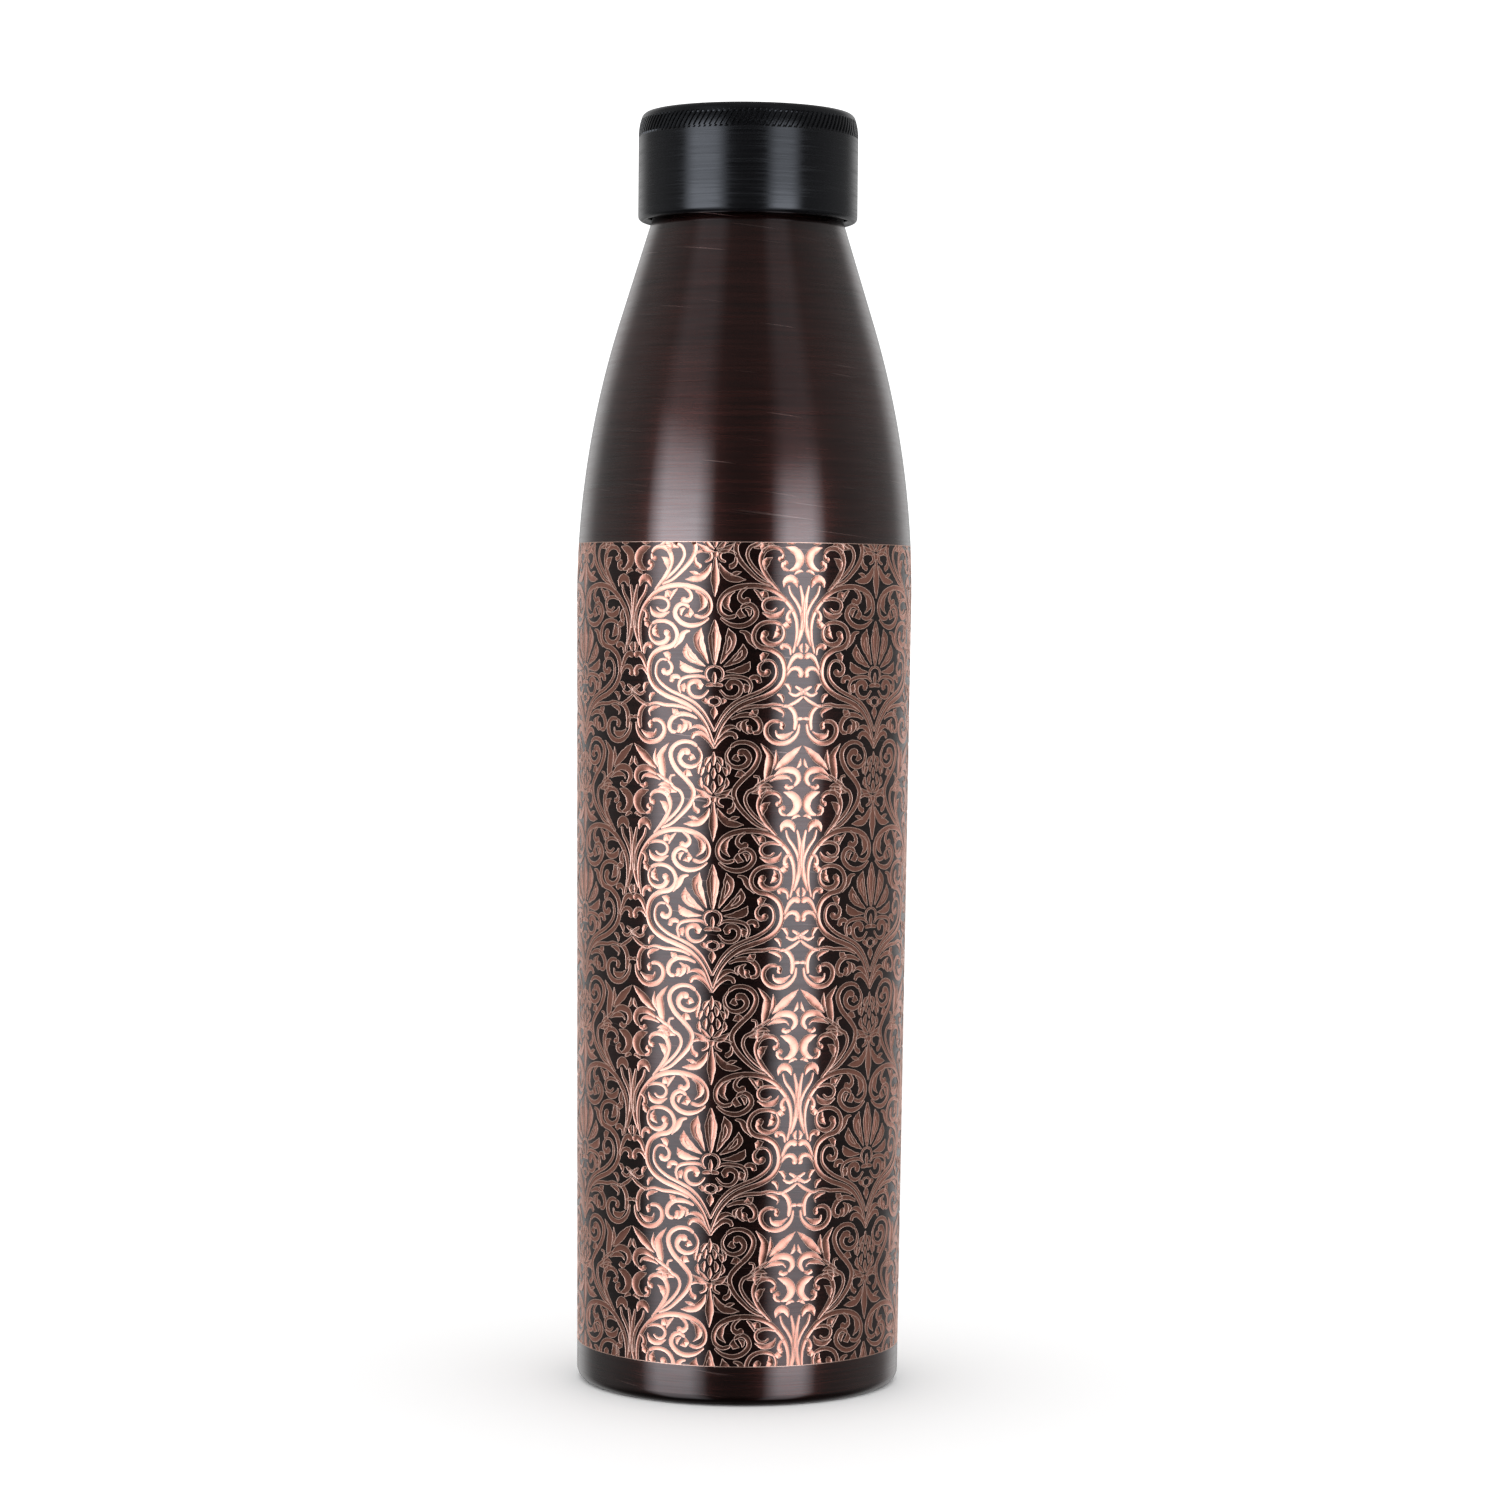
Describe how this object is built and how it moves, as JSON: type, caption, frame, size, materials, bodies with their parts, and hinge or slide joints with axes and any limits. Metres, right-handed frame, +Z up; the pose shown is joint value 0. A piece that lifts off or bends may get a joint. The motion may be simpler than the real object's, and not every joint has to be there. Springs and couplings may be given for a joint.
{
  "type": "copper water bottle",
  "caption": "Tall tapered copper water bottle with sloped shoulder, etched ornament band, recessed base and knurled black screw cap with threaded liner and washer.",
  "frame": {"origin": "middle of the foot, on the surface that the bottle stands on", "axes": "+Z up along the bottle's axis; -Y is the front, with one column of the ornament turned about 10 degrees to its left"},
  "size_m": [0.0734, 0.0734, 0.2773],
  "materials": {
    "antique_copper": "oxidised dark brown, brushed round",
    "etched_copper": "bare copper lines of the etched band",
    "raw_copper": "satin copper",
    "black_lacquer": "black, brushed round",
    "silicone": "matt translucent white"
  },
  "bodies": {
    "bottle": {"body_shell": "antique_copper", "base_cup": "raw_copper", "neck_ring": "raw_copper"},
    "washer": {"seal": "silicone"},
    "cap": {"cap_shell": "black_lacquer", "cap_liner": "raw_copper", "cap_disc": "raw_copper"}
  },
  "joints": [
    {"name": "cap_lift", "type": "slide", "parent": "bottle", "child": "washer", "axis": [0, 0, 1], "range_m": [0, 0.0261]},
    {"name": "cap_turn", "type": "hinge", "parent": "washer", "child": "cap", "pos_m": [0, 0, 0.265], "axis": [0, 0, 1], "range_deg": [0, 2340]}
  ],
  "couplings": [
    {"joint": "cap_lift", "follows": "cap_turn", "m_per_rad": 0.00063662}
  ]
}
